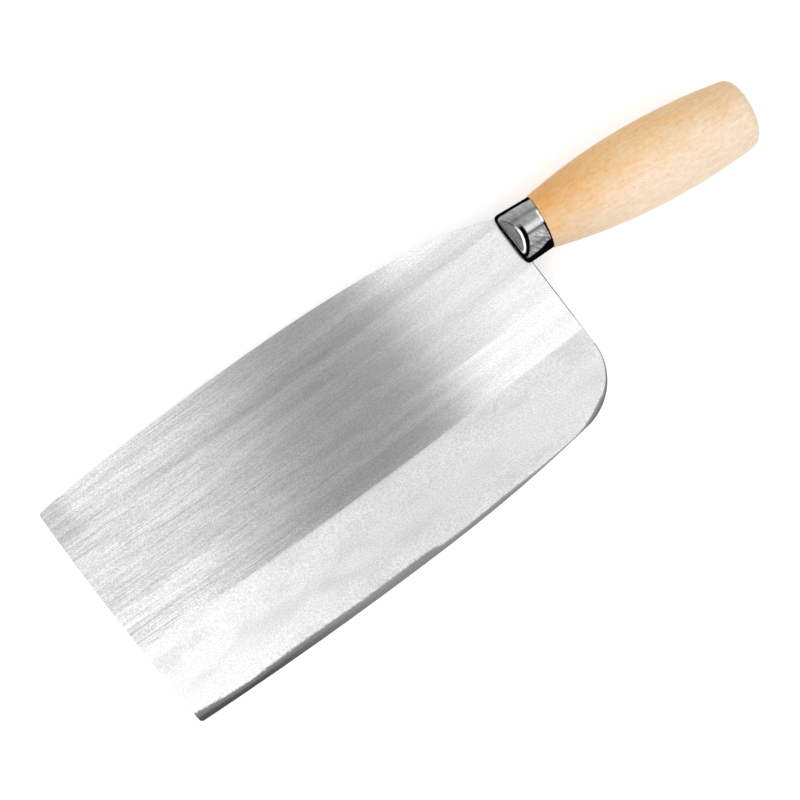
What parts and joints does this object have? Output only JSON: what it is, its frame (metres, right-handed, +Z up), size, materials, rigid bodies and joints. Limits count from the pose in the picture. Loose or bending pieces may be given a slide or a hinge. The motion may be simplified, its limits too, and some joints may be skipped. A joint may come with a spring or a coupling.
{
  "type": "chinese cleaver",
  "caption": "Broad rectangular steel cleaver blade with a wide ground bevel, on a round tang through a steel cup and a turned wood handle.",
  "frame": {"origin": "middle of the bounding box's footprint, on the table that the knife lies on", "axes": "+X along the blade from its front end to the handle, +Y across the blade from the cutting edge to the spine, +Z up off the table; the blade leans 3.4 degrees about Y because the thick handle holds its back end up"},
  "size_m": [0.324, 0.1112, 0.0358],
  "materials": {
    "blade_steel": "belt-brushed stainless flats, bead-blasted matte bevel, bright ground edge",
    "cup_steel": "pressed stainless, roughly polished",
    "bedding_resin": "dark cast resin",
    "handle_hardwood": "pale hardwood, turned and sanded, thin clear coat",
    "mild_steel": "drawn mild steel, hammered at the butt",
    "weld_steel": "as welded",
    "washer_steel": "zinc-plated washer, tumbled"
  },
  "bodies": {
    "root": {"blade": "blade_steel", "ferrule_cup": "cup_steel", "ferrule_bedding": "bedding_resin", "handle_wood": "handle_hardwood", "tang_rod": "mild_steel", "tang_weld": "weld_steel", "butt_washer": "washer_steel"}
  },
  "joints": []
}
